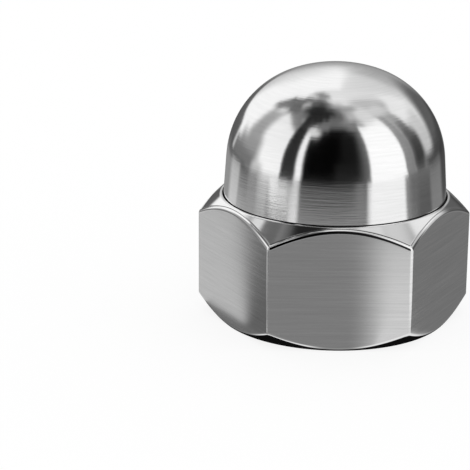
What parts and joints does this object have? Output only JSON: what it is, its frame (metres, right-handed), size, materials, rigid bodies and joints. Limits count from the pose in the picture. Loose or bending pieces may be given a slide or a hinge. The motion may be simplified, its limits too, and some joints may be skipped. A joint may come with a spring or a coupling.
{
  "type": "cap nut",
  "caption": "High-domed hexagon cap nut with a blind metric fine-thread hole, chamfered at both ends of the hexagon.",
  "frame": {"origin": "centre of the bearing face, on the thread's axis", "axes": "+Z along the thread's axis from the bearing face to the crown; hexagon corners on +X and -X, flats facing +Y and -Y"},
  "size_m": [0.0346, 0.03, 0.0323],
  "materials": {
    "plated_steel": "mirror-polished dome and chamfers, brushed flats, satin bearing face"
  },
  "bodies": {
    "root": {"cap_nut": "plated_steel"}
  },
  "joints": []
}
